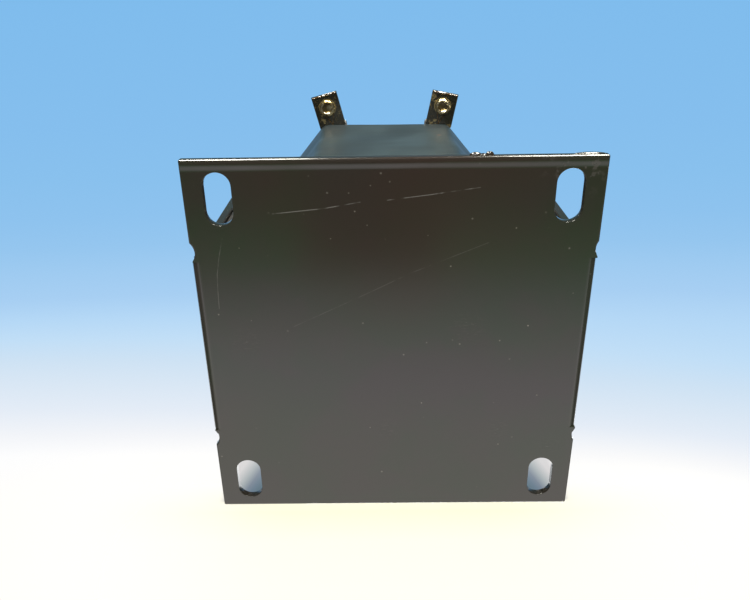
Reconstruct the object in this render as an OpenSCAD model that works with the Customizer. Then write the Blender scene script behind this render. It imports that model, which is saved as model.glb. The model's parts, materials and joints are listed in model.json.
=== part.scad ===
// Laminated chassis transformer.
// A stack of E and I laminations stands between the side walls of one folded steel bracket,
// whose lower face is the mounting plate at z = 0. The stack is built up along Y, and the
// coil on its centre leg stands out at the front (-Y) and at the back. The coil was wound a
// little to one side of the core, so its own centre line is not quite at x = 0.

/* [Core] */
// Width of the yokes and outer legs; the centre leg is twice as wide
yoke_w = 18.25; // [17:0.25:20]
// Thickness of the stack of laminations
stack_t = 56; // [44:1:64]
// Groups of laminations, each turned end for end against the next
lam_groups = 14; // [6:2:20]
// Film of varnish between the groups
film_t = 0.04; // [0.02:0.01:0.1]

/* [Bracket] */
// Thickness of the steel sheet
sheet_t = 2.3; // [1.6:0.1:3]
// Depth of the mounting plate
plate_d = 117.3; // [110:0.1:130]
// Radius of the plate's corners
corner_r = 0.5; // [0.3:0.1:4]
// Gap between each side wall and the core, and the inner radius of the folds
side_clear = 0.35; // [0.2:0.05:0.8]
// How far the side walls stand out past the edges of the plate's corners
wall_out = 0.25; // [0:0.05:0.8]
// How far the side walls run past each face of the stack
wall_over = 0.8; // [0:0.1:3]
// How far the side walls sit towards the front
wall_shift = 0.6; // [0:0.1:1]
// Width of the lugs folded over the top of the core
lug_w = 14; // [8:0.5:20]
// Length of each lug across the core
lug_l = 9; // [6:0.5:14]
// Distance of each lug from the end of its wall
lug_inset = 4; // [1:0.5:6]
// Radius of the lug corners
lug_r = 2; // [0.5:0.1:3.5]

/* [Slots and reliefs] */
// Width of the mounting slots
slot_w = 7.7; // [5:0.1:9]
// Overall length of the mounting slots
slot_l = 15; // [10:0.1:17]
// Distance of the slot centres from the side edges of the plate
slot_side = 9.5; // [8:0.1:11]
// Distance of the slot centres from the front and back edges of the plate
slot_end = 11; // [10.5:0.1:13]
// Radius of the relief punched at each end of a fold
relief_r = 4.35; // [3:0.05:6]
// How far the relief centres lie beyond the ends of a side wall
relief_gap = 2.7; // [2:0.1:3]
// Depth of the reliefs in the left edge of the plate
relief_left = 1.2; // [0.4:0.05:2]
// Depth of the reliefs in the right edge of the plate
relief_right = 0.65; // [0.4:0.05:2]

/* [Core bolts] */
// Diameter of the bolts through the corners of the stack
bolt_d = 5; // [3:0.5:6]
// Clearance of the bolts in the laminations, on the diameter
bolt_clear = 0.5; // [0.2:0.1:1]
// Size of the bolt heads and nuts across the flats
hex_af = 8; // [7:0.5:10]
// Thickness of the bolt heads
head_h = 3.5; // [2:0.1:5]
// Thickness of the nuts
nut_h = 4; // [2.5:0.1:6]
// Outer diameter of the washers
washer_d = 10; // [9:0.5:12]
// Thickness of the washers
washer_t = 1; // [0.6:0.1:2]
// How far each bolt stands out past its nut
bolt_end = 1.5; // [0:0.1:4]

/* [Coil] */
// How far the coil sits to the left of the core's centre line
coil_left = 1.4; // [0:0.1:1.4]
// Mean gap between the former and the sides of the centre leg
former_side = 1.6; // [1.5:0.1:2]
// Gap between the former and the faces of the stack
former_end = 0.4; // [0.2:0.1:1]
// Wall of the former
former_t = 1.2; // [0.8:0.1:2]
// Least gap between the coil's side and an outer leg
coil_gap = 0.65; // [0.3:0.05:1.5]
// Gap between the top of the coil and the upper yoke
coil_top_gap = 0.75; // [0.3:0.05:2]
// Share of the winding space that the primary takes
primary_share = 0.56; // [0.4:0.01:0.65]
// Insulation between the windings, measured at the coil's sides
barrier_t = 0.8; // [0.4:0.1:1.5]
// Insulation over the secondary, measured at the coil's sides
cover_t = 1.8; // [1.7:0.1:2.4]
// Outer wrap, measured at the coil's sides
wrap_t = 0.6; // [0.4:0.1:1]
// Thickness at the coil's ends as a multiple of that at its sides
end_swell = 1.7; // [1.4:0.05:1.9]
// Corner cut of the former, along X
former_cut = 1.5; // [0.8:0.1:2.5]
// Growth of the corner cut for each millimetre of winding
cut_growth = 0.8; // [0.5:0.05:0.9]
// Slope of the cut corners
cut_angle = 50; // [42:1:54]
// Radius of the rounding at the coil's corners, on the former
former_r = 1; // [0.5:0.1:1.5]
// Growth of that radius for each millimetre of winding
round_growth = 0.2; // [0.1:0.05:0.3]
// Bare margin at each end of the windings
margin_h = 4; // [2:0.5:8]
// How far the outer wrap stops short of the former at each end
wrap_step = 0.4; // [0.2:0.1:1.5]

/* [Terminals] */
// Thickness of the brass strip
term_t = 1; // [0.6:0.1:1.2]
// Width of a terminal
term_w = 9.4; // [8.5:0.1:11]
// Length of a terminal from its fold to its tip
term_l = 12.9; // [11:0.1:15]
// Outward lean of the left front terminal
lean_left = 14.5; // [5:0.5:20]
// Outward lean of the right front terminal
lean_right = 11.5; // [5:0.5:20]
// Width of the leg that goes down into the coil
leg_w = 5.6; // [4:0.1:6]
// Length of the leg below the fold
leg_l = 22; // [10:1:40]
// Inner radius of the fold
term_r = 0.5; // [0.3:0.1:0.6]
// Distance of the screw from the tip
screw_tip = 4.85; // [4.6:0.05:5.2]
// Diameter of the terminal screws
screw_d = 3.4; // [2.5:0.1:3.8]
// Outer diameter of the collar drawn down round each screw
collar_d = 5.5; // [4.6:0.1:6.2]
// Height of the collar below the strip
collar_h = 1.1; // [0.6:0.1:2]
// Diameter of the screw heads
screw_head_d = 6.8; // [6:0.1:7.4]
// Height of the screw heads
screw_head_h = 2.2; // [1.4:0.1:3]
// Side of the square clamp washers
clamp_w = 7.8; // [7:0.1:8.4]
// Thickness of the clamp washers
clamp_t = 0.8; // [0.5:0.1:1.2]

/* [Leads] */
// Diameter of the sleeved leads
lead_d = 1.4; // [0.8:0.1:1.5]
// Radius of the bend in each lead, at its centre line
lead_bend = 1.6; // [1:0.1:2]

/* [Hidden] */
$fn = 64;
// Overlap of cutting shapes past the faces that they cut
past = 1;
// Flats that make up each rounded corner of the coil
round_steps = 5;

// Core: scrapless laminations, six units wide and five high
core_w = 6 * yoke_w;
core_h = 5 * yoke_w;
core_top = sheet_t + core_h;
leg_half = yoke_w;
window_z = sheet_t + yoke_w;
window_h = 3 * yoke_w;
group_t = (stack_t - film_t * (lam_groups - 1)) / lam_groups;

// Bracket: the folds start where the core's sides end
fold_r = side_clear + sheet_t;
wall_x = core_w / 2 + fold_r;
wall_l = stack_t + 2 * wall_over;
plate_w = 2 * (wall_x - wall_out);
lug_y = wall_l / 2 - lug_inset - lug_w / 2;
slot_x = plate_w / 2 - slot_side;
slot_y = plate_d / 2 - slot_end;
relief_h = 2 * fold_r;

// Core bolts: in the middle of each corner of the lamination
bolt_x = 2.5 * yoke_w;
bolt_z = [sheet_t + 0.5 * yoke_w, sheet_t + 4.5 * yoke_w];
bolt_hole = bolt_d + bolt_clear;
stack_face = stack_t / 2;
hex_d = hex_af / cos(30);
thread_clear = 0.1;

// Coil: layers counted outwards from the former, as thicknesses at the coil's sides
former_x = leg_half + former_side + former_t;
former_y = stack_face + former_end + former_t;
coil_build = 2 * yoke_w - coil_gap - coil_left - former_x;
winding_room = coil_build - barrier_t - cover_t - wrap_t;
primary_out = winding_room * primary_share;
secondary_in = primary_out + barrier_t;
secondary_out = coil_build - wrap_t - cover_t;
cover_out = coil_build - wrap_t;
coil_h = window_h - coil_top_gap;
coil_top = window_z + coil_h;
wedge_gap = former_side + coil_left;
wedge_clear = 0.1;
wedge_nose = 6;

// Terminals: each lies on the coil's end, with its leg in the middle of the outer insulation
leg_edge = 0.4;
leg_clear = 0.1;
fold_depth = term_r + term_t;
cover_y = layer_y(cover_out);
cover_end = cover_y - layer_y(secondary_out);
term_y = cover_y - (cover_end - fold_depth) / 2;
term_x = layer_x(cover_out) - layer_cut(cover_out) - leg_w / 2 - leg_edge;
leg_bottom = coil_top - term_r - leg_l;
// Space between the end of each screw and the lip of its collar, and the slot in its head
screw_short = 0.5;
slot_cut_w = 1;
slot_cut_h = 1.1;
dome_r = 6;
clamp_clear = 0.4;

// Leads: each comes up through a margin and is soldered along the top of a terminal
primary_lead_y = layer_y(primary_out / 2);
secondary_lead_y = layer_y((secondary_in + secondary_out) / 2);
lead_x = term_x - leg_w / 2 - lead_d / 2 - leg_clear;
lead_z = coil_top + term_t + lead_d / 2;
lead_lap = 2.5;
lead_clear = 0.3;

function layer_x(t) = former_x + t;
function layer_y(t) = former_y + end_swell * t;
function layer_cut(t) = former_cut + cut_growth * t;
function layer_round(t) = former_r + round_growth * t;
function unit(v) = v / norm(v);

// Places children with their +Z along +Y, starting at y
module along_y(y) translate([0, y, 0]) rotate([-90, 0, 0]) children();

// Rectangle with rounded corners, centred
module round_rect(w, l, r) {
    square([w - 2 * r, l], center = true);
    square([w, l - 2 * r], center = true);
    for (x = [-1, 1], y = [-1, 1]) translate([x * (w / 2 - r), y * (l / 2 - r)]) circle(r);
}

// Slot along Y with round ends, centred
module slot(w, l) {
    square([w, l - w], center = true);
    for (y = [-1, 1]) translate([0, y * (l - w) / 2]) circle(d = w);
}

// Quarter of a ring in the quadrant (qx, qy), for a fold seen along its line
module quarter_ring(r_in, r_out, qx, qy) {
    intersection() {
        difference() {
            circle(r_out);
            circle(r_in);
        }
        translate([qx > 0 ? 0 : -r_out, qy > 0 ? 0 : -r_out]) square(r_out);
    }
}

// Right side wall, folded up from the plate, with its two lugs folded over the core
module side_wall() {
    fold_x = wall_x - fold_r;
    straight = core_top - side_clear - fold_r;
    translate([0, wall_l / 2, 0]) rotate([90, 0, 0]) linear_extrude(wall_l) {
        translate([fold_x, fold_r]) quarter_ring(side_clear, fold_r, 1, -1);
        translate([wall_x - sheet_t, fold_r]) square([sheet_t, straight]);
    }
    for (y = [-lug_y, lug_y]) {
        translate([0, y + lug_w / 2, 0]) rotate([90, 0, 0]) linear_extrude(lug_w)
            translate([fold_x, fold_r + straight]) quarter_ring(side_clear, fold_r, 1, 1);
        translate([fold_x, y, core_top]) linear_extrude(sheet_t) intersection() {
            translate([-lug_l, -lug_w / 2]) square([lug_l, lug_w]);
            round_rect(2 * lug_l, lug_w, lug_r);
        }
    }
}

module base_bracket() color([0.16, 0.15, 0.13]) {
    difference() {
        union() {
            linear_extrude(sheet_t) difference() {
                round_rect(plate_w, plate_d, corner_r);
                for (x = [-1, 1]) translate([x * (core_w + fold_r) / 2, -wall_shift])
                    square([fold_r, wall_l], center = true);
            }
            translate([0, -wall_shift, 0]) for (side = [0, 1]) mirror([side, 0, 0]) side_wall();
        }
        for (x = [-slot_x, slot_x], y = [-slot_y, slot_y])
            translate([x, y, -past]) linear_extrude(sheet_t + 2 * past) slot(slot_w, slot_l);
        for (y = [-1, 1]) translate([0, y * (wall_l / 2 + relief_gap) - wall_shift, -past]) {
            translate([-plate_w / 2 - relief_r + relief_left, 0, 0]) cylinder(relief_h, r = relief_r);
            translate([plate_w / 2 + relief_r - relief_right, 0, 0]) cylinder(relief_h, r = relief_r);
        }
    }
}

// E lamination on edge, its yoke below: X across, Y up
module e_shape() {
    difference() {
        translate([-core_w / 2, 0]) square([core_w, 4 * yoke_w]);
        for (x = [-2, 1]) translate([x * yoke_w, yoke_w]) square([yoke_w, window_h + past]);
        for (x = [-bolt_x, bolt_x]) translate([x, yoke_w / 2]) circle(d = bolt_hole);
    }
}

// I lamination that closes the E above
module i_shape() {
    difference() {
        translate([-core_w / 2, 4 * yoke_w]) square([core_w, yoke_w]);
        for (x = [-bolt_x, bolt_x]) translate([x, 4.5 * yoke_w]) circle(d = bolt_hole);
    }
}

// Every group of the stack, every other one turned upside down
module stack() {
    for (i = [0 : lam_groups - 1])
        translate([0, i * (group_t + film_t) + group_t - stack_face, sheet_t + (i % 2) * core_h])
            mirror([0, 0, i % 2]) rotate([90, 0, 0]) linear_extrude(group_t) children();
}

module e_laminations() color([0.22, 0.21, 0.2]) stack() e_shape();
module i_laminations() color([0.3, 0.29, 0.27]) stack() i_shape();

// Repeats children at the four bolts, with +Z along +Y from y
module at_bolts(y) for (x = [-bolt_x, bolt_x], z = bolt_z) translate([x, 0, z]) along_y(y) children();

module core_bolts() color([0.35, 0.33, 0.3]) at_bolts(-stack_face - washer_t - head_h) {
    cylinder(head_h, d = hex_d, $fn = 6);
    cylinder(head_h + stack_t + 2 * washer_t + nut_h + bolt_end, d = bolt_d);
}

module core_nuts() color([0.4, 0.38, 0.34]) at_bolts(stack_face + washer_t) difference() {
    cylinder(nut_h, d = hex_d, $fn = 6);
    translate([0, 0, -past]) cylinder(nut_h + 2 * past, d = bolt_d + thread_clear);
}

module core_washers() color([0.5, 0.48, 0.44]) for (y = [-stack_face - washer_t, stack_face])
    at_bolts(y) difference() {
        cylinder(washer_t, d = washer_d);
        translate([0, 0, -past]) cylinder(washer_t + 2 * past, d = bolt_hole);
    }

// Points of a polygon, taken clockwise, with its corners rounded to radius r
function round_points(points, r) = let (n = len(points)) [for (i = [0 : n - 1])
    let (
        before = unit(points[(i + n - 1) % n] - points[i]),
        after = unit(points[(i + 1) % n] - points[i]),
        half = acos(before * after) / 2,
        middle = points[i] + unit(before + after) * r / sin(half),
        start = points[i] + before * r / tan(half) - middle,
        first = atan2(start.y, start.x)
    )
    for (k = [0 : round_steps]) let (a = first - k * (180 - 2 * half) / round_steps)
        middle + r * [cos(a), sin(a)]
];

// Outline of the coil at layer t, with its corners cut off
module layer(t) {
    x = layer_x(t);
    y = layer_y(t);
    cut_x = layer_cut(t);
    cut_y = cut_x * tan(cut_angle);
    polygon(round_points([
        [x - cut_x, y], [x, y - cut_y], [x, cut_y - y], [x - cut_x, -y],
        [cut_x - x, -y], [-x, cut_y - y], [-x, y - cut_y], [cut_x - x, y]
    ], layer_round(t)));
}

// Ring of the coil from layer t_in to t_out, between two heights above the former's foot
module coil_ring(t_in, t_out, from = 0, to = coil_h) {
    translate([-coil_left, 0, window_z + from]) linear_extrude(to - from) difference() {
        layer(t_out);
        layer(t_in);
    }
}

module coil_former() color([0.62, 0.48, 0.3]) difference() {
    translate([-coil_left, 0, window_z]) linear_extrude(coil_h) layer(0);
    translate([-coil_left, 0, window_z - past]) linear_extrude(coil_h + 2 * past)
        square(2 * [former_x - former_t, former_y - former_t], center = true);
}

// Wedge driven in from the front, on the side where the former stands off the leg
module former_wedge() color([0.7, 0.56, 0.36])
    translate([-leg_half, 0, window_z]) linear_extrude(coil_h) polygon([
        [0, -stack_face], [0, stack_face], [-(wedge_gap - wedge_clear) / 2, stack_face],
        [wedge_clear - wedge_gap, stack_face - wedge_nose], [wedge_clear - wedge_gap, -stack_face]
    ]);

module primary_winding() color([0.72, 0.38, 0.2])
    coil_ring(0, primary_out, margin_h, coil_h - margin_h);
module winding_barrier() color([0.66, 0.52, 0.34]) coil_ring(primary_out, secondary_in);
module secondary_winding() color([0.75, 0.42, 0.22])
    coil_ring(secondary_in, secondary_out, margin_h, coil_h - margin_h);

// Margins below and above a winding; its leads come up through the upper one at y
module margins(t_in, t_out, y) {
    coil_ring(t_in, t_out, 0, margin_h);
    difference() {
        coil_ring(t_in, t_out, coil_h - margin_h, coil_h);
        for (x = [-lead_x, lead_x]) translate([x - coil_left, y, coil_top - margin_h - past])
            cylinder(margin_h + 2 * past, d = lead_d + lead_clear);
    }
}

module primary_margins() color([0.6, 0.47, 0.3]) margins(0, primary_out, -primary_lead_y);
module secondary_margins() color([0.6, 0.47, 0.3])
    margins(secondary_in, secondary_out, secondary_lead_y);

// Repeats children at the front of the coil and, turned half round, at its back
module both_ends() for (turn = [0, 180]) translate([-coil_left, 0, 0]) rotate(turn) children();

// Insulation over the secondary, with a pocket for the leg of each terminal
module outer_insulation() color([0.58, 0.45, 0.28]) difference() {
    coil_ring(secondary_out, cover_out);
    both_ends() for (x = [-term_x, term_x])
        translate([x - leg_w / 2 - leg_clear, -term_y - leg_clear, leg_bottom - leg_clear])
            cube([leg_w + 2 * leg_clear, fold_depth + 2 * leg_clear, leg_l + fold_depth]);
}

module coil_wrap() color([0.1, 0.1, 0.1])
    coil_ring(cover_out, coil_build, wrap_step, coil_h - wrap_step);

// Terminal at the coil's front, with the middle of its fold at the origin: side is -1 on the
// left and 1 on the right, and the flat part leans outwards from the fold
module terminal(side, lean) {
    out = [side * sin(lean), -cos(lean)];
    across = [cos(lean), side * sin(lean)] * term_w / 2;
    fold_half = term_w / 2 / cos(lean);
    screw = out * (term_l - screw_tip);
    lip_r = (collar_d - screw_d) / 4;
    translate([side * term_x, -term_y, coil_top]) difference() {
        union() {
            linear_extrude(term_t) polygon([
                [-fold_half, 0], out * term_l - across, out * term_l + across, [fold_half, 0]
            ]);
            translate(screw) rotate_extrude() {
                translate([0, lip_r - collar_h]) square([collar_d / 2, collar_h - lip_r + term_t]);
                translate([collar_d / 2 - lip_r, lip_r - collar_h]) circle(lip_r);
            }
            translate([-leg_w / 2, 0, -term_r]) rotate([90, 0, 90]) linear_extrude(leg_w)
                quarter_ring(term_r, fold_depth, 1, 1);
            translate([-leg_w / 2, term_r, -term_r - leg_l]) cube([leg_w, term_t, leg_l]);
        }
        translate([screw.x, screw.y, -collar_h - past])
            cylinder(collar_h + term_t + 2 * past, d = screw_d);
    }
}

// Places children at the front or, turned half round, at the back of the coil
module front() translate([-coil_left, 0, 0]) children();
module back() translate([-coil_left, 0, 0]) rotate(180) children();

module terminal_front_left() color([0.72, 0.58, 0.28]) front() terminal(-1, lean_left);
module terminal_front_right() color([0.72, 0.58, 0.28]) front() terminal(1, lean_right);
module terminal_back_left() color([0.72, 0.58, 0.28]) back() terminal(1, lean_right);
module terminal_back_right() color([0.72, 0.58, 0.28]) back() terminal(-1, lean_left);

// Repeats children at the four terminal screws, turned with each terminal, at height z above it
module at_screws(z) both_ends() for (one = [[-1, lean_left], [1, lean_right]])
    translate([one[0] * term_x, -term_y, coil_top + z]) rotate(one[0] * one[1])
        translate([0, screw_tip - term_l, 0]) children();

module terminal_clamps() color([0.8, 0.76, 0.66]) at_screws(term_t) difference() {
    translate([-clamp_w / 2, -clamp_w / 2, 0]) cube([clamp_w, clamp_w, clamp_t]);
    translate([0, 0, -past]) cylinder(clamp_t + 2 * past, d = screw_d + clamp_clear);
}

module terminal_screws() color([0.82, 0.78, 0.68]) at_screws(0) {
    translate([0, 0, screw_short - collar_h])
        cylinder(collar_h - screw_short + term_t + clamp_t + past, d = screw_d - thread_clear);
    translate([0, 0, term_t + clamp_t]) difference() {
        intersection() {
            cylinder(screw_head_h, d = screw_head_d);
            translate([0, 0, screw_head_h - dome_r]) sphere(dome_r);
        }
        translate([-screw_head_d / 2 - past, -slot_cut_w / 2, screw_head_h - slot_cut_h])
            cube([screw_head_d + 2 * past, slot_cut_w, slot_cut_h + past]);
    }
}

// Lead at the coil's front, up from a winding at y and out over a terminal
module lead(side, y) translate([side * lead_x, -y, coil_top]) {
    bend_z = lead_z - coil_top - lead_bend;
    translate([0, 0, -margin_h]) cylinder(margin_h + bend_z, d = lead_d);
    translate([0, -lead_bend, bend_z]) rotate([90, 0, 90]) rotate_extrude(angle = 90)
        translate([lead_bend, 0]) circle(d = lead_d);
    translate([0, -lead_bend, bend_z + lead_bend]) rotate([90, 0, 0])
        cylinder(term_y + lead_lap - y - lead_bend, d = lead_d);
}

module lead_front_left() color([0.75, 0.68, 0.5]) front() lead(-1, primary_lead_y);
module lead_front_right() color([0.75, 0.68, 0.5]) front() lead(1, primary_lead_y);
module lead_back_left() color([0.75, 0.68, 0.5]) back() lead(1, secondary_lead_y);
module lead_back_right() color([0.75, 0.68, 0.5]) back() lead(-1, secondary_lead_y);

base_bracket();
e_laminations();
i_laminations();
core_bolts();
core_nuts();
core_washers();
coil_former();
former_wedge();
primary_winding();
primary_margins();
winding_barrier();
secondary_winding();
secondary_margins();
outer_insulation();
coil_wrap();
terminal_front_left();
terminal_front_right();
terminal_back_left();
terminal_back_right();
terminal_clamps();
terminal_screws();
lead_front_left();
lead_front_right();
lead_back_left();
lead_back_right();
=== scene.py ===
import json
import math
import random

import bmesh
import bpy
from mathutils import Matrix, Vector, noise


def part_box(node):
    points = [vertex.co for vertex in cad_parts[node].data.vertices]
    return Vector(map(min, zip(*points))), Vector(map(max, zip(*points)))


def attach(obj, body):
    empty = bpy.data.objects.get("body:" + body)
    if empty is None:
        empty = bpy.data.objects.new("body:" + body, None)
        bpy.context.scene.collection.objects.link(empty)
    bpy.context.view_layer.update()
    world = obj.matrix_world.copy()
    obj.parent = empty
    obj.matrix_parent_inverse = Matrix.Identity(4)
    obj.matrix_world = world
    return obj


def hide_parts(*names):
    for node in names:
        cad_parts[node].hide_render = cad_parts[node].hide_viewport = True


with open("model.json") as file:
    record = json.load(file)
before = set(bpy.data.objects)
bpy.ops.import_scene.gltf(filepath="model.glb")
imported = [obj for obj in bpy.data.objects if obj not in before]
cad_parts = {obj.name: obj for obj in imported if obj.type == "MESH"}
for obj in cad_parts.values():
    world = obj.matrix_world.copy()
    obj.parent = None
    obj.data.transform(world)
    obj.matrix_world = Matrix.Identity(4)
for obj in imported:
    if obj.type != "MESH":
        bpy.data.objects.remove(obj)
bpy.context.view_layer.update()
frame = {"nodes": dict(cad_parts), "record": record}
mm = 0.001
plateLow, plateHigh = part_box("base_bracket")
coreLow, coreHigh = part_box("e_laminations")
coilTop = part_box("coil_former")[1].z
mounts = {m["name"]: Vector(m["pos_m"]) for m in frame["record"]["mounts"]}
draw = random.Random(7)
print("frame loaded:", len(frame["nodes"]), "nodes")


# shader maths: a socket that adds Math nodes when it is used in a sum
class Wire:
    def __init__(self, tree, socket=None):
        self.tree, self.socket = tree, socket

    def node(self, kind, settings=None, values=None, out=0):
        made = self.tree.nodes.new(kind)
        for name, value in (settings or {}).items():
            if name == "stops":
                while len(made.color_ramp.elements) < len(value):
                    made.color_ramp.elements.new(1)
                for stop, (position, colour) in zip(made.color_ramp.elements, value):
                    stop.position, stop.color = position, (*colour, 1)
            else:
                setattr(made, name, value)
        for name, value in (values or {}).items():
            if isinstance(value, Wire):
                self.tree.links.new(value.socket, made.inputs[name])
            else:
                made.inputs[name].default_value = value
        return Wire(self.tree, made.outputs[out])

    def other(self, out):  # another output of the same node
        return Wire(self.tree, self.socket.node.outputs[out])

    def sum(self, operation, a, b):
        return self.node("ShaderNodeMath", {"operation": operation}, {0: a, 1: b})

    def __add__(self, b): return self.sum("ADD", self, b)
    def __radd__(self, b): return self.sum("ADD", b, self)
    def __sub__(self, b): return self.sum("SUBTRACT", self, b)
    def __rsub__(self, b): return self.sum("SUBTRACT", b, self)
    def __mul__(self, b): return self.sum("MULTIPLY", self, b)
    def __rmul__(self, b): return self.sum("MULTIPLY", b, self)
    def __truediv__(self, b): return self.sum("DIVIDE", self, b)
    def __rtruediv__(self, b): return self.sum("DIVIDE", b, self)
    def __pow__(self, b): return self.sum("POWER", self, b)


def grain(place, scale, detail=2, rough=0.5, twist=0):
    return place.node("ShaderNodeTexNoise", {}, {
        "Vector": place, "Scale": scale, "Detail": detail, "Roughness": rough, "Distortion": twist})


def cells(place, scale, out="Distance", feature="F1"):
    return place.node("ShaderNodeTexVoronoi", {"feature": feature}, {"Vector": place, "Scale": scale}, out)


def fade(value, low, high, start=0, end=1):  # smooth step from start to end as value goes low to high
    return value.node("ShaderNodeMapRange", {"interpolation_type": "SMOOTHSTEP"}, {
        "Value": value, "From Min": low, "From Max": high, "To Min": start, "To Max": end})


def blend(share, a, b, kind="MIX"):
    return share.node("ShaderNodeMix", {"data_type": "RGBA", "blend_type": kind}, {
        0: share, 6: a if isinstance(a, Wire) else (*a, 1), 7: b if isinstance(b, Wire) else (*b, 1)}, 2)


def stretched(place, size, turn=(0, 0, 0), centre=(0, 0, 0)):
    return place.node("ShaderNodeMapping", {"vector_type": "POINT"}, {
        "Vector": place, "Location": centre, "Rotation": [math.radians(a) for a in turn], "Scale": size})


def bump(height, strength, distance):
    return height.node("ShaderNodeBump", {}, {"Height": height, "Strength": strength, "Distance": distance})


def material(name, recipe, **fixed):
    made = bpy.data.materials.new(name)
    made.use_nodes = True
    shader = made.node_tree.nodes["Principled BSDF"]
    place = Wire(made.node_tree).node("ShaderNodeTexCoord", out="Object")
    for socket, value in recipe(place).items():
        made.node_tree.links.new(value.socket, shader.inputs[socket])
    for socket, value in fixed.items():
        shader.inputs[socket.replace("_", " ")].default_value = value
    return made


# finishes, one for each of the record's material slots
paint = {
    "black": (0.030, 0.026, 0.020), "olive": (0.024, 0.029, 0.017), "brown": (0.036, 0.024, 0.018),
    "dust": (0.34, 0.31, 0.25), "worn": (0.16, 0.15, 0.13), "roughness": 0.14, "scratchWidth": 0.16 * mm,
    # scratches on the plate's lower face: points in mm, and how strong each is
    "scratches": (
        (0.75, ((-32.9, -43.5), (-19.2, -44.8), (-9.2, -46.5))),
        (0.70, ((-1.5, -47.0), (10.2, -48.4), (23.1, -50.2))),
        (0.34, ((-47.7, -36.2), (-49.2, -30.7), (-50.2, -25.6), (-50.6, -20.4), (-50.8, -15.0))),
        (0.20, ((-29.2, -8.8), (-8.4, -18.8), (5.0, -25.5), (26.2, -34.3))),
    ),
    "specks": (
        (-6.2, -51.1), (-1.0, -52.1), (-10.6, -43.9), (-7.3, -39.9), (-17.5, -36.1), (9.5, -36.7),
        (16.1, -27.4), (51.5, -18.6), (39.4, -8.2), (31.4, -3.3), (-9.1, -9.6), (2.9, 1.2),
        (-41.8, -10.8), (8.5, 18.5), (-7.6, 27.6), (33.2, 34.5), (-12.1, -49.1), (-43.2, -33.6),
        (-51.2, -12.9), (33.8, -38.6),
    ),
    "speckSize": 0.3 * mm, "smears": ((33, 29, 6), (49, 35, 5), (-2, 28, 5), (-44, -4, 7), (22, -8, 8)),
    "scuffed": (49, -57, 0, 13), "scuff": (0.13, 0.10, 0.09), "fatEdge": (1.2, 3.4, 0.18),
}


def lineMask(place, start, end, width):  # 1 along a line on the plate's lower face, 0 beside it
    run = Vector(end) - Vector(start)
    turn = math.degrees(math.atan2(run.y, run.x))
    middle = (Vector(start) + Vector(end)) / 2 * mm
    local = place.node("ShaderNodeMapping", {"vector_type": "TEXTURE"}, {
        "Vector": place, "Location": (middle.x, middle.y, 0), "Rotation": (0, 0, math.radians(turn)),
        "Scale": (1, 1, 1)})
    x = local.node("ShaderNodeSeparateXYZ", {}, {0: local})
    along, across = x.sum("ABSOLUTE", x, 0), x.sum("ABSOLUTE", x.other(1), 0)
    half = run.length * mm / 2
    return fade(across, width * 0.4, width, 1, 0) * fade(along, half, half + 0.5 * mm, 1, 0)


def spotMask(place, centre, near, far):  # 1 nearer than near to a point, 0 further than far from it
    away = place.node("ShaderNodeVectorMath", {"operation": "DISTANCE"}, {0: place, 1: centre}, "Value")
    return fade(away, near, far, 1, 0)


def bracketRecipe(place):
    axes = place.node("ShaderNodeSeparateXYZ", {}, {0: place})
    below = fade(axes.other(2), 0.1 * mm, 0.4 * mm, 1, 0)
    fromFront = (axes.other(1) - plateLow.y) / mm
    cloud, fine = grain(place, 22, 4, 0.6), grain(place, 1400, 2)
    tone = blend(fade(cloud, 0.4, 0.62), paint["black"], paint["olive"])
    tone = blend(fade(grain(place, 9, 2), 0.5, 0.7) * 0.8, tone, paint["brown"])
    marks = None
    for strength, points in paint["scratches"]:
        for a, b in zip(points, points[1:]):
            one = lineMask(place, a, b, paint["scratchWidth"]) * strength
            marks = one if marks is None else marks.sum("MAXIMUM", marks, one)
    broken = fade(grain(place, 260, 2), 0.36, 0.58)
    marks = marks * broken * below
    dots = None
    for x, y in paint["specks"]:
        size = draw.uniform(0.7, 1.3) * paint["speckSize"]
        one = spotMask(place, (x * mm, y * mm, 0), size * 0.3, size) * draw.uniform(0.25, 0.8)
        dots = one if dots is None else dots.sum("MAXIMUM", dots, one)
    dust = fade(cells(place, 330), 0.05, 0.16, 1, 0) * fade(grain(place, 150, 2), 0.6, 0.68)
    smear = None
    for x, y, size in paint["smears"]:
        one = spotMask(place, (x * mm, y * mm, 0), 0, size * mm)
        smear = one if smear is None else smear.sum("MAXIMUM", smear, one)
    rubbed = grain(stretched(place, (500, 1500, 500), (0, 0, 20)), 1, 4, 0.65)
    smear = smear * fade(rubbed, 0.5, 0.68) * below
    scuff = spotMask(place, [c * mm for c in paint["scuffed"][:3]], 2 * mm, paint["scuffed"][3] * mm)
    scuff = scuff * fade(grain(place, 420, 3, 0.6), 0.54, 0.64)
    tone = blend(marks, tone, paint["worn"])
    tone = blend(smear * 0.05, tone, paint["dust"])
    tone = blend(scuff * 0.22, tone, paint["scuff"])
    tone = blend(dots.sum("MAXIMUM", dots, dust * 0.3) * below * 0.8, tone, paint["dust"])
    roughness = paint["roughness"] + (cloud - 0.5) * 0.06 + marks * 0.25 + dust * 0.2
    roughness = roughness + smear * 0.15 + scuff * 0.2
    # the height is in millimetres: orange peel, and the fat edge that the paint drew up along the front
    peel = grain(place, 620, 1) * 0.0035 + grain(place, 90, 2) * 0.008 + fine * 0.0005 - marks * 0.004
    low, high, thick = paint["fatEdge"]
    fat = fade(fromFront, low, high, 1, 0) * fade(fromFront, 0, low, 0, 1) * thick * below
    fat = fat * (0.75 + grain(stretched(place, (60, 60, 60)), 1, 2) * 0.5)
    return {"Base Color": tone, "Roughness": roughness, "Normal": bump(peel + fat + scuff * 0.006, 1, mm)}


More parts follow.
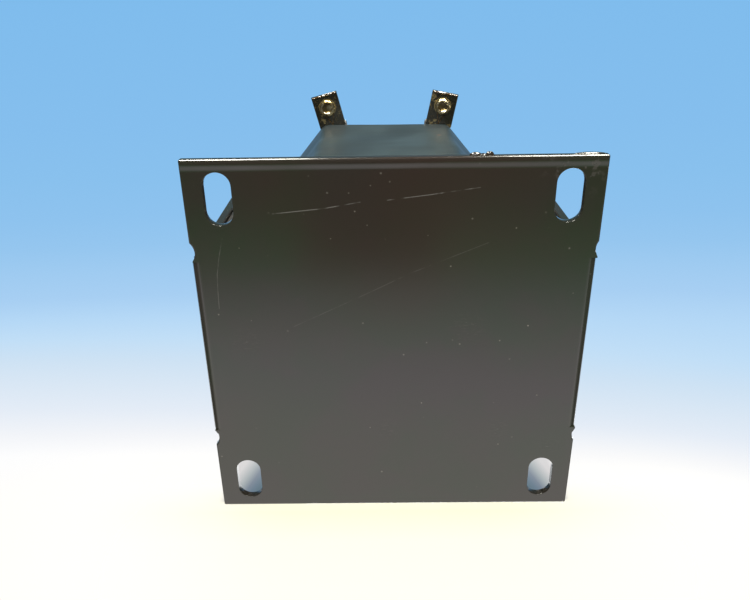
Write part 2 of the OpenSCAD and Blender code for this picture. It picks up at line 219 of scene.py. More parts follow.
def laminationRecipe(place):
    cloud = grain(place, 70, 4, 0.6)
    tone = blend(fade(cloud, 0.38, 0.66), (0.020, 0.018, 0.015), (0.055, 0.046, 0.036))
    bare = fade(grain(place, 260, 3, 0.6), 0.6, 0.72)
    tone = blend(bare * 0.5, tone, (0.16, 0.13, 0.10))
    streak = grain(stretched(place, (40, 900, 40)), 1, 2)
    return {"Base Color": tone, "Roughness": 0.3 + cloud * 0.25, "Metallic": bare * 0.6,
            "Normal": bump(streak * 0.6 + cloud, 0.25, 0.15 * mm)}


def hardwareRecipe(place):
    cloud = grain(place, 160, 4, 0.6)
    tone = blend(fade(cloud, 0.35, 0.65), (0.10, 0.085, 0.06), (0.34, 0.31, 0.26))
    varnish = fade(grain(place, 90, 2), 0.45, 0.6)
    tone = blend(varnish * 0.8, tone, (0.035, 0.028, 0.02))
    return {"Base Color": tone, "Metallic": 1 - varnish * 0.8, "Roughness": 0.28 + cloud * 0.2,
            "Normal": bump(cloud + varnish, 0.2, 0.1 * mm)}


# the wrap's marks: the brown spot and the olive streak of three spots are painted reflections of the
# terminal strips; the last is a dark spot
crepe = {"roughness": 0.38, "reflectionsAndSpot": (
    (16.7, -52.3, 57.3, 1.4, (0.10, 0.045, 0.03)), (-20.0, -52.3, 46.2, 0.7, (0.05, 0.05, 0.012)),
    (-19.2, -52.3, 46.9, 0.7, (0.05, 0.05, 0.012)), (-18.3, -52.3, 47.6, 0.6, (0.05, 0.05, 0.012)),
    (20.4, -52.3, 40.1, 0.8, (0.008, 0.006, 0.004)))}


def crepeRecipe(place):
    cloud = grain(place, 60, 3)
    crinkle = grain(stretched(place, (150, 150, 900)), 1, 3, 0.6)
    tone = blend(fade(cloud, 0.4, 0.65), (0.006, 0.018, 0.021), (0.012, 0.032, 0.037))
    amber = fade(grain(place, 130, 3), 0.66, 0.74)
    tone = blend(amber * 0.25, tone, (0.05, 0.025, 0.01))
    # painted reflections of the terminals, and a dark spot, mixed into the wrap's colour
    for x, y, z, size, colour in crepe["reflectionsAndSpot"]:
        spotShare = spotMask(place, (x * mm, y * mm, z * mm), size * 0.4 * mm, size * mm)
        tone = blend(spotShare * fade(grain(place, 700, 2), 0.3, 0.6), tone, colour)
    return {"Base Color": tone, "Roughness": crepe["roughness"] + cloud * 0.12,
            "Normal": bump(crinkle * 0.02 + grain(place, 200, 2) * 0.02, 1, mm)}


def kraftRecipe(place):
    fibre, cloud = grain(stretched(place, (300, 300, 2400)), 1, 3, 0.6), grain(place, 50, 4, 0.6)
    tone = blend(fade(cloud, 0.35, 0.68), (0.13, 0.062, 0.022), (0.30, 0.175, 0.075))
    soaked = fade(grain(place, 110, 3), 0.46, 0.6)
    tone = blend(soaked * 0.75, tone, (0.045, 0.02, 0.008))
    return {"Base Color": tone, "Roughness": 0.55 - soaked * 0.32, "Normal": bump(fibre, 0.3, 0.1 * mm)}


def copperRecipe(place):
    axes = place.node("ShaderNodeSeparateXYZ", {}, {0: place})
    turns = axes.sum("SINE", axes.other(2) * (2 * math.pi / (0.9 * mm)), 0)
    cloud = grain(place, 80, 3)
    tone = blend(fade(cloud, 0.35, 0.65), (0.36, 0.13, 0.05), (0.50, 0.23, 0.11))
    return {"Base Color": tone, "Roughness": 0.25 + cloud * 0.15, "Normal": bump(turns, 0.8, 0.3 * mm)}


def woodRecipe(place):
    rings = grain(stretched(place, (900, 240, 30)), 1, 4, 0.6)
    tone = blend(fade(rings, 0.35, 0.68), (0.16, 0.08, 0.03), (0.36, 0.21, 0.10))
    return {"Base Color": tone, "Roughness": 0.3 + rings * 0.2, "Normal": bump(rings, 0.3, 0.1 * mm)}


def brassRecipe(place):
    cloud, spots = grain(place, 330, 4, 0.65), fade(grain(place, 900, 3), 0.56, 0.7)
    covered = fade(cloud, 0.26, 0.42)
    for name in ("front_left", "front_right", "back_left", "back_right"):  # bare brass round each screw
        collar = mounts["terminal_" + name] - Vector((0, 0, 2 * mm))
        covered = covered * (1 - spotMask(place, collar, 2.6 * mm, 3.4 * mm))
    tone = blend(covered, (0.56, 0.44, 0.20), (0.018, 0.017, 0.010))
    tone = blend(spots * 0.35, tone, (0.10, 0.07, 0.02))
    roughness = 0.16 + cloud * 0.14 + spots * 0.1
    return {"Base Color": tone, "Metallic": 1 - covered * 0.85, "Roughness": roughness,
            "Normal": bump(cloud * 0.03 + spots * 0.01, 1, mm)}


def nickelRecipe(place):
    cloud = grain(place, 420, 4, 0.6)
    tone = blend(fade(cloud, 0.4, 0.62), (0.62, 0.54, 0.36), (0.22, 0.16, 0.07))
    return {"Base Color": tone, "Roughness": 0.2 + cloud * 0.2, "Normal": bump(cloud, 0.15, 0.1 * mm)}


def sleeveRecipe(place):
    cloud = grain(place, 400, 3)
    tone = blend(fade(cloud, 0.35, 0.65), (0.20, 0.14, 0.06), (0.40, 0.31, 0.17))
    weave = grain(place, 1800, 2)
    return {"Base Color": tone, "Roughness": 0.35 + cloud * 0.2, "Normal": bump(weave, 0.3, 0.1 * mm)}


def solderRecipe(place):
    cloud = grain(place, 700, 3)
    tone = blend(fade(cloud, 0.4, 0.6), (0.36, 0.35, 0.33), (0.56, 0.55, 0.52))
    return {"Base Color": tone, "Roughness": 0.28 + cloud * 0.25, "Normal": bump(cloud, 0.3, 0.1 * mm)}


def varnishRecipe(place):
    cloud = grain(place, 500, 3)
    tone = blend(fade(cloud, 0.4, 0.6), (0.035, 0.018, 0.006), (0.10, 0.055, 0.015))
    return {"Base Color": tone, "Roughness": 0.08 + cloud * 0.1, "Normal": bump(cloud, 0.15, 0.1 * mm)}


finishes = {
    "bracket_paint": material("bracketPaint", bracketRecipe, IOR=1.5),
    "lamination_steel": material("laminationVarnish", laminationRecipe),
    "hardware_steel": material("hardwareZinc", hardwareRecipe),
    "coil_wrap": material("crepeWrap", crepeRecipe, IOR=1.5),
    "coil_paper": material("kraftPaper", kraftRecipe),
    "winding_copper": material("enamelledCopper", copperRecipe, Metallic=1.0),
    "wedge_wood": material("wedgeWood", woodRecipe),
    "terminal_brass": material("varnishedBrass", brassRecipe, Coat_Weight=0.5, Coat_Roughness=0.06),
    "screw_brass": material("wornNickelBrass", nickelRecipe, Metallic=1.0),
    "lead_sleeve": material("varnishedSleeve", sleeveRecipe),
}
solder = material("solder", solderRecipe, Metallic=1.0)
varnish = material("varnishBead", varnishRecipe, Coat_Weight=0.8)
print("finishes made:", len(finishes) + 2)

for part in frame["record"]["subparts"]:
    node = frame["nodes"][part["node"]]
    for place in node.material_slots:
        place.material = finishes[part["material_slot"]]


# mesh helpers
def copyOf(node, straight=0.5):  # a merged copy of a CAD node, with its flat faces whole again
    mesh = bmesh.new()
    mesh.from_mesh(frame["nodes"][node].data)
    bmesh.ops.remove_doubles(mesh, verts=mesh.verts, dist=0.0001 * mm)
    bmesh.ops.dissolve_limit(
        mesh, angle_limit=math.radians(straight), verts=mesh.verts, edges=mesh.edges)
    return mesh


def roundEdges(mesh, width, segments=3, angle=35, only=None):
    edges = [e for e in mesh.edges if len(e.link_faces) == 2 and e.is_convex
             and e.calc_face_angle() > math.radians(angle) and (only is None or only(e))]
    bmesh.ops.bevel(mesh, geom=edges, offset=width, offset_type="OFFSET", affect="EDGES",
                    segments=segments, profile=0.5, material=-1, clamp_overlap=False)


# a closed round tube along points; shape trims its radius at (step, angle)
def tube(mesh, points, radius, sides, shape=None):
    rings = []
    for i, point in enumerate(points):
        along = (points[min(i + 1, len(points) - 1)] - points[max(i - 1, 0)]).normalized()
        turn = along.to_track_quat("Z", "X").to_matrix().to_4x4()
        size = radius(i) if callable(radius) else radius
        ring = bmesh.ops.create_circle(
            mesh, radius=size, segments=sides, cap_ends=i in (0, len(points) - 1),
            matrix=Matrix.Translation(point) @ turn)["verts"]
        rings.append([e for e in {e for v in ring for e in v.link_edges}])
        if shape:
            for v in ring:
                away = turn.inverted() @ (v.co - point)
                v.co = point + (v.co - point) * shape(i, math.atan2(away.y, away.x))
    for a, b in zip(rings, rings[1:]):
        bmesh.ops.bridge_loops(mesh, edges=a + b)
    bmesh.ops.recalc_face_normals(mesh, faces=mesh.faces)


def blob(mesh, centre, radii, uneven, seed=0):
    form = Matrix.Translation(centre) @ Matrix.Diagonal((*radii, 1))
    grown = bmesh.ops.create_uvsphere(mesh, u_segments=24, v_segments=14, radius=1, matrix=form)["verts"]
    for v in grown:
        away = v.co - centre
        dent = noise.noise(away / max(radii) * 1.3 + Vector((seed, 0, 0)))
        v.co = centre + away * (1 - uneven * abs(dent))


flat = {"large": 8 * mm * mm, "nearly": 0.75}


def evenNormals(data):  # the faces round a large flat face take its normal where they meet it
    beside = {}
    for face in data.polygons:
        if face.area > flat["large"]:
            for v in face.vertices:
                beside.setdefault(v, []).append(face.normal.copy())
    given = []
    for face in data.polygons:
        for i in face.loop_indices:
            near = max(beside.get(data.loops[i].vertex_index, ()), key=face.normal.dot, default=None)
            if face.area > flat["large"]:
                near = face.normal
            elif near is None or near.dot(face.normal) < flat["nearly"]:
                near = data.corner_normals[i].vector
            given.append(near.copy())
    data.normals_split_custom_set(given)


def addPiece(mesh, name, finish, replaced=(), soft=40, even=True):
    data = bpy.data.meshes.new(name)
    mesh.to_mesh(data)
    mesh.free()
    data.shade_smooth()
    data.set_sharp_from_angle(angle=math.radians(soft))
    piece = bpy.data.objects.new(name, data)
    bpy.context.scene.collection.objects.link(piece)
    if even:
        evenNormals(data)
    if isinstance(finish, str):
        data.materials.append(finishes[finish])
    else:
        data.materials.append(finish)
    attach(piece, "root")
    if replaced:
        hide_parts(*replaced)
    return piece


# the folded bracket: its cut edges are rounded under the paint
bracket = {"under": 0.48 * mm, "over": 0.3 * mm, "slots": 0.12 * mm, "lugs": 0.35 * mm, "inside": 53 * mm}
mesh = copyOf("base_bracket")
wallEnds = [v.co.y for v in mesh.verts if v.co.z > 20 * mm]
wallEnds = (min(wallEnds) - 1 * mm, max(wallEnds) + 1 * mm)


def level(edge, z):
    return all(abs(v.co.z - z) < 0.01 * mm for v in edge.verts)


def isSlot(edge):
    return all(abs(v.co.x) < bracket["inside"] and abs(v.co.y) < plateHigh.y - 2 * mm for v in edge.verts)


def isRim(edge):
    return not isSlot(edge) and all(not wallEnds[0] < v.co.y < wallEnds[1] for v in edge.verts)


sheet = coreLow.z
roundEdges(mesh, bracket["slots"], 2, only=lambda e: isSlot(e) and (level(e, 0) or level(e, sheet)))
roundEdges(mesh, bracket["under"], 5, only=lambda e: isRim(e) and level(e, 0))
roundEdges(mesh, bracket["over"], 3, only=lambda e: isRim(e) and level(e, sheet))
roundEdges(mesh, bracket["lugs"], 3, only=lambda e: level(e, plateHigh.z) or level(e, plateHigh.z - sheet))
addPiece(mesh, "bracketShell", "bracket_paint", ["base_bracket"])

# drips of paint that dried along the front edge
drips = (  # place, length and depth of each, in mm
    (21.9, 3.4, 0.85), (25.6, 2.6, 1.05), (23.8, 2.4, 0.5), (52.2, 8.6, 0.5))
mesh = bmesh.new()
for x, length, deep in drips:
    blob(mesh, Vector((x * mm, plateLow.y + 0.1 * mm, sheet - 0.5 * mm)),
         (length / 2 * mm, deep * mm, 0.75 * mm), 0.2, x)
addPiece(mesh, "paintDrips", "bracket_paint", even=False)
print("bracket done")


# laminations: every sheet of the stack, none quite in line with the next
sheets = {"groups": 14, "each": 8, "gap": 0.05 * mm, "slip": 0.09 * mm, "joint": 0.06 * mm}
unit, stackFace = (coreHigh.x - coreLow.x) / 6, coreLow.y
pitch = (coreHigh.y - coreLow.y) / (sheets["groups"] * sheets["each"])
eShape = ((-3, 0), (3, 0), (3, 4), (2, 4), (2, 1), (1, 1),
          (1, 4), (-1, 4), (-1, 1), (-2, 1), (-2, 4), (-3, 4))
iShape = ((-3, 4), (3, 4), (3, 5), (-3, 5))
for name, shape, node in (("eSheets", eShape, "e_laminations"), ("iSheets", iShape, "i_laminations")):
    mesh = bmesh.new()
    for group in range(sheets["groups"]):
        turned = group % 2
        for one in range(sheets["each"]):
            y = stackFace + (group * sheets["each"] + one) * pitch
            slipX = draw.uniform(-1, 1) * sheets["slip"]
            slipZ = draw.uniform(0.1, 1) * sheets["slip"] + (sheets["joint"] if shape is iShape else 0)
            corners = []
            for a, b in shape:
                if shape is iShape:
                    z = b * unit + (sheets["joint"] if b == 4 else -slipZ)
                else:
                    z = b * unit + (slipZ if b == 0 else 0)
                height = coreHigh.z - z if turned else coreLow.z + z
                corners.append(mesh.verts.new((a * unit + slipX, y, height)))
            face = mesh.faces.new(corners)
            grown = bmesh.ops.extrude_face_region(mesh, geom=[face])["geom"]
            bmesh.ops.translate(mesh, vec=(0, pitch - sheets["gap"], 0),
                                verts=[v for v in grown if isinstance(v, bmesh.types.BMVert)])
    bmesh.ops.recalc_face_normals(mesh, faces=mesh.faces)
    addPiece(mesh, name, "lamination_steel", [node], soft=30, even=False)
print("laminations done")


# paper: the coil's ends show every layer, cut a little uneven
paper = {
    "deep": 1.3 * mm, "uneven": 0.32 * mm, "ragged": 0.07 * mm, "raggedLength": 2.2 * mm, "fill": 0.86,
    "layers": {
        "outer_insulation": 7, "winding_barrier": 3, "secondary_margins": 9, "primary_margins": 13,
    },
}


def ringsAt(mesh, z):  # the inner and the outer outline of a ring's end face
    rim = {e for e in mesh.edges if all(abs(v.co.z - z) < 0.01 * mm for v in e.verts)
           and len(e.link_faces) == 2 and e.calc_face_angle() > 0.5}
    outlines = []
    while rim:
        start = rim.pop()
        line, corner = [start.verts[0]], start.verts[1]
        while corner is not line[0]:
            line.append(corner)
            step = next(e for e in corner.link_edges if e in rim)
            rim.discard(step)
            corner = step.other_vert(corner)
        outlines.append(line)
    outlines.sort(key=lambda line: max(v.co.y for v in line))
    return [sorted((v.co.copy() for v in line), key=lambda c: math.atan2(c.y, c.x))
            for line in outlines[-2:]]


for node, layers in paper["layers"].items():
    mesh = copyOf(node)
    heights = sorted({round(v.co.z / mm, 2) * mm for v in mesh.verts})
    ends = [(heights[0], 1), (heights[-1], -1)]
    outlines = {z: ringsAt(mesh, z) for z, inward in ends}
    for v in mesh.verts:
        for z, inward in ends:
            if abs(v.co.z - z) < 0.02 * mm:
                v.co.z += inward * paper["deep"] * 0.8
    for z, inward in ends:
        inner, outer = outlines[z]
        for layer in range(layers):
            top = z + inward * draw.uniform(0, 1) ** 2 * paper["uneven"]
            rings = []
            for share in (layer + (1 - paper["fill"]) / 2, layer + (1 + paper["fill"]) / 2):
                ring = []
                for a, b in zip(inner, outer):
                    spot = a.lerp(b, share / layers)
                    ring.append(mesh.verts.new((spot.x, spot.y, top)))
                rings.append([mesh.edges.new((ring[i - 1], ring[i])) for i in range(len(ring))])
            bmesh.ops.bridge_loops(mesh, edges=rings[0] + rings[1])
            long = [e for e in rings[0] + rings[1] if e.calc_length() > 5 * mm]
            bmesh.ops.subdivide_edges(mesh, edges=long, cuts=14, use_grid_fill=True)
            band = [f for f in mesh.faces if all(abs(v.co.z - top) < 1e-9 for v in f.verts)]
            grown = bmesh.ops.extrude_face_region(mesh, geom=band)["geom"]
            upper = [v for v in grown if isinstance(v, bmesh.types.BMVert)]
            for f in band:
                for v in f.verts:
                    v.co.z = z + inward * paper["deep"]
            for v in upper:
                torn = noise.noise(v.co / paper["raggedLength"] + Vector((0, 0, layer)))
                v.co.z += inward * abs(torn) * paper["ragged"]
    bmesh.ops.recalc_face_normals(mesh, faces=mesh.faces)
    addPiece(mesh, node + ".layers", "coil_paper", [node], even=False)
print("paper layers done")


# the coil's outer wrap: crepe paper, rippled round the coil and soaked in varnish
wrap = {"rows": 90, "columns": 90, "ripple": 0.42 * mm, "rippleHeight": 13 * mm, "rippleLength": 42 * mm,
        "crinkle": 0.05 * mm, "crinkleHeight": 3.5 * mm, "crinkleLength": 20 * mm, "lean": 0.12}
mesh = copyOf("coil_wrap", 0.2)
upright = [e for e in mesh.edges if abs((e.verts[0].co - e.verts[1].co).z) > 20 * mm]
bmesh.ops.subdivide_edges(mesh, edges=upright, cuts=wrap["rows"], use_grid_fill=True)
longest = [e for e in mesh.edges if (e.verts[0].co - e.verts[1].co).length > 10 * mm]
bmesh.ops.subdivide_edges(mesh, edges=longest, cuts=wrap["columns"], use_grid_fill=True)
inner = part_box("outer_insulation")
middle = (inner[0] + inner[1]) / 2
for v in mesh.verts:
    away = Vector((v.co.x - middle.x, v.co.y, 0))
    if v.normal.dot(away) > 0 and abs(v.normal.z) < 0.9:
        here, shift = v.co.copy(), v.co.z - v.co.x * wrap["lean"]
        for fold in ("ripple", "crinkle"):
            length, height = wrap[fold + "Length"], wrap[fold + "Height"]
            spot = Vector((here.x / length, here.y / length, shift / height))
            v.co += v.normal * (noise.noise(spot) - 0.5) * wrap[fold]
addPiece(mesh, "coilWrapSkin", "coil_wrap", ["coil_wrap"], even=False)
print("coil wrap done")


# terminals: strip, collar lip and varnish; then clamps, screws and core bolts
terminal = {
    "edge": 0.16 * mm, "bead": 0.46 * mm, "lip": 0.55 * mm, "lipRadius": 2.05 * mm, "thread": 0.1 * mm,
    "buried": 10 * mm, "inset": 0.5 * mm, "fold": (2.2 * mm, 0.7 * mm, 0.45 * mm),
}
names = ("front_left", "front_right", "back_left", "back_right")
for name in names:
    mesh = copyOf("terminal_" + name)
    screw = mounts["terminal_" + name]
    collar = min(v.co.z for v in mesh.verts if (v.co - screw).xy.length < 4 * mm)
    legs = [v.co for v in mesh.verts if v.co.z < coilTop - terminal["buried"]]
    leg = sum(legs, Vector()) / len(legs)
    tops = [v.co.copy() for v in mesh.verts if v.co.z > screw.z - 0.01 * mm]
    tips = sorted(tops, key=lambda c: -(c - leg).xy.length)[:2]
    outward = ((tips[0] + tips[1]) / 2 - screw).normalized()
    across = (tips[1] - tips[0]).normalized()
    roundEdges(mesh, terminal["edge"], 2, only=lambda e: all(v.co.z > collar - mm for v in e.verts))
    addPiece(mesh, "terminalStrip." + name, "terminal_brass", ["terminal_" + name])

    # varnish that ran to the edge of the strip and from the collar into the fold; a brass lip round the
    # collar
    mesh = bmesh.new()
    under = screw.z - 1 * mm
    start = tips[0] + (across - outward) * terminal["inset"]
    end = tips[1] - (across + outward) * terminal["inset"]
    line = [start.lerp(end, i / 24) for i in range(25)]
    for point in line:
        point.z = under + 0.05 * mm
    tube(mesh, line, lambda i: terminal["bead"] * (0.55 + 0.9 * abs(noise.noise(line[i] / (1.6 * mm)))), 12)
    around = [i * 2 * math.pi / 40 for i in range(41)]
    foot = Vector((screw.x, screw.y, collar + 0.1 * mm))
    ring = [foot + Vector((math.cos(a), math.sin(a), 0)) * terminal["lipRadius"] for a in around]
    lip = bmesh.new()
    tube(lip, ring, lambda i: terminal["lip"] * (0.85 + 0.3 * noise.noise(ring[i % 40] / (1.3 * mm))), 14)
    addPiece(lip, "collarLip." + name, "screw_brass", even=False)
    fold = Vector((leg.x, screw.y + (leg.y - screw.y) * 0.78, under))
    blob(mesh, fold + across * 0.8 * mm, terminal["fold"], 0.4, leg.x / mm)
    for side in (-1, 1):
        start = foot + Vector((0, 0, 0.2 * mm)) + across * side * 2.3 * mm - outward * 0.6 * mm
        end = fold - across * side * 0.4 * mm
        strand = [start.lerp(end, i / 12) for i in range(13)]
        tube(mesh, strand, terminal["thread"], 8)
    addPiece(mesh, "varnish." + name, varnish, even=False)

for node, edge in (("terminal_clamps", 0.15), ("terminal_screws", 0.15), ("core_bolts", 0.3),
                   ("core_nuts", 0.3), ("core_washers", 0.2)):
    mesh = copyOf(node)
    roundEdges(mesh, edge * mm, 2)
    slotName = {"t": "screw_brass", "c": "hardware_steel"}[node[0]]
    addPiece(mesh, node + ".rounded", slotName, [node])
print("terminals and bolts done")


# leads: a woven sleeve, then the bare end of the wire in its solder
lead = {"step": 0.16 * mm, "bend": 1.6 * mm, "weave": 0.07, "plaits": 7, "pitch": 2.6 * mm,
        "bare": 2.6 * mm, "wire": 0.34 * mm, "solder": (1.35 * mm, 1.9 * mm, 0.62 * mm)}


def woven(i, angle):  # radius of the sleeve at a step and an angle, as a share of its largest
    run = i * lead["step"] / lead["pitch"] * 2 * math.pi
    turn = lead["plaits"] * angle
    return 1 - lead["weave"] * (1 - math.cos(turn + run) * math.cos(turn - run))


for name in names:
    low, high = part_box("lead_" + name)
    radius, x = (high.x - low.x) / 2, (high.x + low.x) / 2
    toward = -1 if "front" in name else 1
    rise = (high.y if toward < 0 else low.y) + toward * radius
    end = low.y if toward < 0 else high.y
    top = high.z - radius
    path = [Vector((x, rise, z)) for z in (low.z, top - lead["bend"])]
    centre = Vector((x, rise + toward * lead["bend"], top - lead["bend"]))
    for i in range(1, 17):
        a = i / 16 * math.pi / 2
        path.append(centre + Vector((0, -toward * math.cos(a), math.sin(a))) * lead["bend"])
    path.append(Vector((x, end - toward * lead["bare"], top)))
    fine = []
    for a, b in zip(path, path[1:]):
        steps = max(1, round((b - a).length / lead["step"]))
        fine += [a.lerp(b, i / steps) for i in range(steps)]
    fine.append(path[-1])
    mesh = bmesh.new()
    tube(mesh, fine, radius, 28, woven)
    addPiece(mesh, "leadSleeve." + name, "lead_sleeve", ["lead_" + name], even=False)
    mesh = bmesh.new()
    onStrip = mounts["terminal_" + name].z + lead["wire"]
    wire = [path[-1] - Vector((0, toward * mm, 0)), path[-1] + Vector((0, toward * 0.6 * mm, -0.1 * mm)),
            Vector((x, end - toward * 0.3 * mm, onStrip))]
    tube(mesh, wire, lead["wire"], 14)
    blob(mesh, Vector((x, end - toward * 0.9 * mm, onStrip - 0.1 * mm)), lead["solder"], 0.3, x / mm)
    addPiece(mesh, "solderJoint." + name, solder, even=False)
print("leads done")


# studio: a pale sweep that the part stands on by its back edge, and soft light from the front
studio = {
    "sweep": (  # slope of the line of sight, and the sweep's colour there
        (-0.40, (0.05, 0.13, 0.17)), (-0.16, (0.08, 0.21, 0.28)), (-0.02, (0.19, 0.46, 0.75)),
        (0.04, (0.215, 0.503, 0.845)), (0.20, (0.236, 0.517, 0.85)), (0.27, (0.25, 0.53, 0.85)),
        (0.33, (0.271, 0.543, 0.857)), (0.376, (0.301, 0.564, 0.862)), (0.417, (0.347, 0.597, 0.878)),
        (0.46, (0.388, 0.623, 0.894)), (0.504, (0.464, 0.688, 0.923)), (0.549, (0.535, 0.733, 0.928)),
        (0.597, (0.615, 0.761, 0.906)), (0.645, (0.694, 0.799, 0.911)), (0.696, (0.777, 0.841, 0.927)),
        (0.749, (0.896, 0.913, 0.948)), (0.792, (0.987, 0.989, 0.992)), (0.931, (0.998, 0.985, 0.955)),
        (1.111, (1.0, 0.982, 0.935)),
    ),
    "lowest": -0.45,
    "room": (  # the same for what the lower face mirrors: dark room, then the pale floor
        (0.00, (0.02, 0.02, 0.02)), (0.29, (0.02, 0.02, 0.02)), (0.33, (0.03, 0.12, 0.06)),
        (0.39, (0.10, 0.42, 0.16)), (0.417, (0.15, 0.46, 0.19)), (0.437, (0.47, 0.59, 0.50)),
        (0.47, (0.78, 0.83, 0.92)), (0.512, (1.01, 1.10, 1.03)), (0.567, (1.39, 1.42, 1.44)),
        (0.625, (1.64, 1.50, 1.72)), (0.707, (1.74, 1.72, 1.69)), (0.85, (1.74, 1.69, 1.63)),
    ),
    "span": 1.2, "plain": 0.55, "pale": (0.80, 0.82, 0.84), "darkCard": (-0.117, 0.085, 0.43),
}
world = bpy.data.worlds.new("studio")
world.use_nodes = True
bpy.context.scene.world = world
tree = world.node_tree
tree.nodes.clear()
way = Wire(tree).node("ShaderNodeTexCoord", out="Generated")
x = way.node("ShaderNodeSeparateXYZ", {}, {0: way})
y, z = x.other(1), x.other(2)
forward = (z * z + x * x * 0.15) ** 0.5
aside = x / forward
slope = y / forward
slope = slope - aside * 0.06 * fade(slope, 0.45, 0.6)


def slopeRamp(stops):
    low, span = studio["lowest"], studio["span"] - studio["lowest"]
    return slope.node("ShaderNodeValToRGB", {"stops": [((s - low) / span, c) for s, c in stops]}, {
        0: (slope - low) / span})


sweep, room = slopeRamp(studio["sweep"]), slopeRamp(studio["room"])
card = fade(aside, studio["darkCard"][0] - 0.012, studio["darkCard"][0] + 0.012)
card = card * fade(aside, studio["darkCard"][1] - 0.012, studio["darkCard"][1] + 0.012, 1, 0)
card = card * fade(slope, studio["darkCard"][2] - 0.006, studio["darkCard"][2] + 0.006, 1, 0)
room = blend(card * 0.9, room, (0.01, 0.008, 0.008))
rays = way.node("ShaderNodeLightPath", out="Is Camera Ray")
seen = rays.sum("MAXIMUM", rays, rays.other("Is Transmission Ray"))
glossy = rays.other("Is Glossy Ray")
mirrored = blend(fade(z, -0.12, 0.12), room, sweep)
mirrored = blend(fade(x.sum("ABSOLUTE", x, 0), 0.6, 0.8) * 0.92, mirrored, (0.03, 0.035, 0.035))
colour = blend(glossy, (studio["plain"],) * 3, mirrored)
colour = blend(seen, colour, blend(fade(z, 0.4, 0.56), studio["pale"], sweep))
output = tree.nodes.new("ShaderNodeOutputWorld")
tree.links.new(way.node("ShaderNodeBackground", {}, {0: colour, 1: 1.0}).socket, output.inputs[0])


def stagePlane(name, corners, recipe, **fixed):
    mesh = bmesh.new()
    mesh.faces.new([mesh.verts.new(c) for c in corners])
    data = bpy.data.meshes.new(name)
    mesh.to_mesh(data)
    mesh.free()
    plane = bpy.data.objects.new(name, data)
    bpy.context.scene.collection.objects.link(plane)
    data.materials.append(material(name, recipe, Roughness=1.0, Specular_IOR_Level=0.0, **fixed))
    plane.visible_diffuse = plane.visible_transmission = plane.visible_shadow = False
    return plane


def shownFrom(place, look):  # fades a plane out towards its rim, and hides it from behind
    spread = stretched(place, [1 / s for s in look["spread"]], centre=[-m / s for m, s in zip(
        look["middle"], look["spread"])])
    away = place.node("ShaderNodeVectorMath", {"operation": "LENGTH"}, {0: spread}, "Value")
    return fade(away, *look["fade"], 1, 0) * (1 - place.node("ShaderNodeNewGeometry", out="Backfacing"))


# the floor's glowing colour carries painted shadow: 'below' is a painted warm shade just beneath the
# plate's lower edge, 'under' a painted blue shadow behind the plate, under the core
resting = {
    "middle": (0, plateHigh.y, -0.02), "spread": (0.15, 1, 0.11), "fade": (0.25, 1.1),
    "below": ((0.0, (1.0, 0.97, 0.86)), (0.5, (1.0, 0.97, 0.83)), (0.68, (1.0, 0.97, 0.80)),
              (0.80, (1.0, 0.96, 0.68)), (0.84, (1.0, 0.97, 0.75)), (0.92, (1.0, 0.99, 0.98)),
              (1.0, (1.0, 1.0, 1.0))),
    "under": ((0.0, (0.06, 0.14, 0.20)), (0.18, (0.08, 0.16, 0.24)), (0.36, (0.13, 0.19, 0.27)),
              (0.62, (0.36, 0.42, 0.44)), (1.0, (0.72, 0.70, 0.70))),
}


def restingRecipe(place):
    axes = place.node("ShaderNodeSeparateXYZ", {}, {0: place})
    x, z = axes.sum("ABSOLUTE", axes, 0) / mm, axes.other(2) / mm
    # painted warm shade on the floor just beneath the plate's lower edge, fading to white towards the sides
    below = z.node("ShaderNodeValToRGB", {"stops": resting["below"]}, {0: (z + 100) / 120})
    below = blend(fade(x, 30, 115), below, (1.0, 0.985, 0.95))
    # painted blue shadow on the floor behind the plate, lighter towards its rim
    depth = (x + z * 0.25 - 49) / 11
    under = z.node("ShaderNodeValToRGB", {"stops": resting["under"]}, {0: depth})
    # where the painted shadow lies: behind the plate, within the core's width
    paintedShadowArea = fade(z, 0.5, 2.5) * fade(x, 56, 60, 1, 0)
    tone = blend(paintedShadowArea, below, under)
    glossy = place.node("ShaderNodeLightPath", out="Is Glossy Ray")
    shown = shownFrom(place, resting) * (1 - glossy * (1 - paintedShadowArea)) * (1 - fade(z, 0, 60) * (1 - paintedShadowArea))
    # black base colour inside the painted shadow, so the lamps add nothing there; the glow carries the
    # painted shade
    return {"Base Color": blend(paintedShadowArea, (0.2, 0.19, 0.16), (0.0, 0.0, 0.0)),
            "Emission Color": tone, "Alpha": shown}


farBack = max(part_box("terminal_back_left")[1].y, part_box("terminal_back_right")[1].y)
rise = (farBack - plateHigh.y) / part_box("terminal_back_left")[1].z
reach = 0.6
stagePlane("restingFloor", (
    (-reach, plateHigh.y - reach * rise, -reach), (reach, plateHigh.y - reach * rise, -reach),
    (reach, plateHigh.y + reach * rise, reach), (-reach, plateHigh.y + reach * rise, reach)),
    restingRecipe, Emission_Strength=0.85)

table = {"middle": (0, 0, 0), "spread": (0.12, 0.12, 1), "fade": (0.7, 2.4), "colour": (0.8, 0.8, 0.79)}


def tableRecipe(place):
    tone = blend(grain(place, 6, 2), table["colour"], [c * 0.97 for c in table["colour"]])
    return {"Base Color": tone, "Alpha": shownFrom(place, table)}


low = -0.1 * mm  # just clear of the plate's lower face
plateFloor = stagePlane("plateFloor", (
    (-reach, -reach, low), (reach, -reach, low), (reach, reach, low), (-reach, reach, low)), tableRecipe)
plateFloor.visible_glossy = False


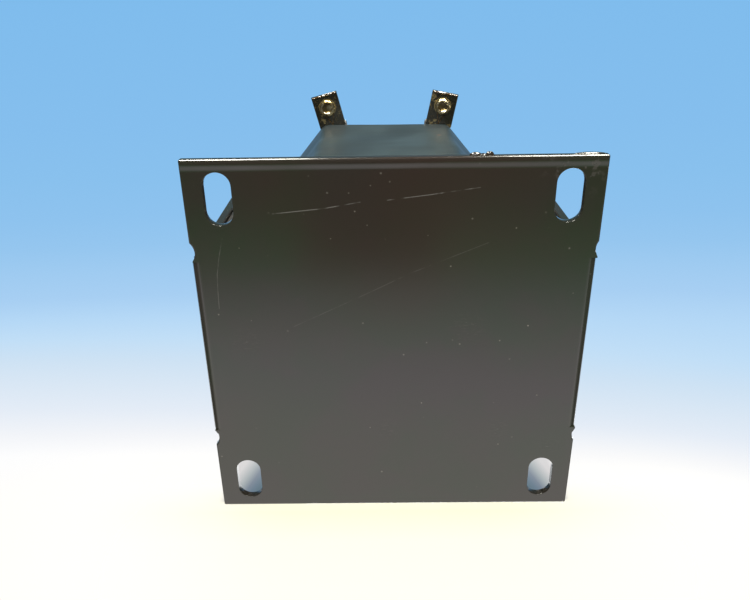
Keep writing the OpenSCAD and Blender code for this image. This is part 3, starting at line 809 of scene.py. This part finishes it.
panels = {  # bright panels that only reflections see: two opposite corners, and their strength
    "leftPanel": ((-0.235, -0.66, -0.25), (-0.085, -0.66, 0.25), 60),
    "rightPanel": ((0.145, -0.66, -0.25), (0.28, -0.66, 0.25), 60),
    "sidePanel": ((0.6, 0.03, 0.1), (0.6, 0.10, 0.3), 6),
}


def panelRecipe(place):
    return {"Emission Color": blend(grain(place, 3, 1), (1.0, 0.98, 0.88), (1.0, 0.96, 0.84))}


for name, (near, far, strength) in panels.items():
    corners = (near, (far[0], far[1], near[2]), far, (near[0], near[1], far[2]))
    panel = stagePlane(name, corners, panelRecipe, Emission_Strength=strength)
    panel.visible_camera = False


def softLight(name, place, aim, size, power, colour):
    lamp = bpy.data.lights.new(name, "AREA")
    lamp.shape = "RECTANGLE"
    lamp.size, lamp.size_y = size
    lamp.energy = power
    lamp.color = colour
    body = bpy.data.objects.new(name, lamp)
    bpy.context.scene.collection.objects.link(body)
    body.location = place
    body.rotation_euler = (Vector(aim) - Vector(place)).to_track_quat("-Z", "Y").to_euler()
    return body


softLight("leftBox", (-0.17, -0.66, -0.05), (-0.1, 0, 0.02), (0.16, 0.3), 2.2, (1, 0.95, 0.86))
softLight("rightBox", (0.21, -0.66, -0.05), (0.1, 0, 0.02), (0.16, 0.3), 2.2, (1, 0.95, 0.86))
softLight("fill", (0, -0.62, -0.62), (0, 0, 0), (0.5, 0.3), 4.0, (1, 1, 1))
softLight("topBox", (0.1, 0.58, 0.68), (0, 0, 0.05), (0.5, 0.5), 9.0, (1, 0.99, 0.97))
print("studio lit")

view = {"place": (-3.331 * mm, -104.236 * mm, -182.596 * mm),
        "turn": (154.4817, -0.2747, 0.8123), "lens": 33.6}
lens = bpy.data.cameras.new("view")
lens.lens, lens.sensor_width, lens.clip_start = view["lens"], 36, 0.01
camera = bpy.data.objects.new("view", lens)
bpy.context.scene.collection.objects.link(camera)
camera.location = view["place"]
camera.rotation_euler = [math.radians(a) for a in view["turn"]]
bpy.context.scene.camera = camera
bpy.context.scene.view_settings.view_transform = "Standard"
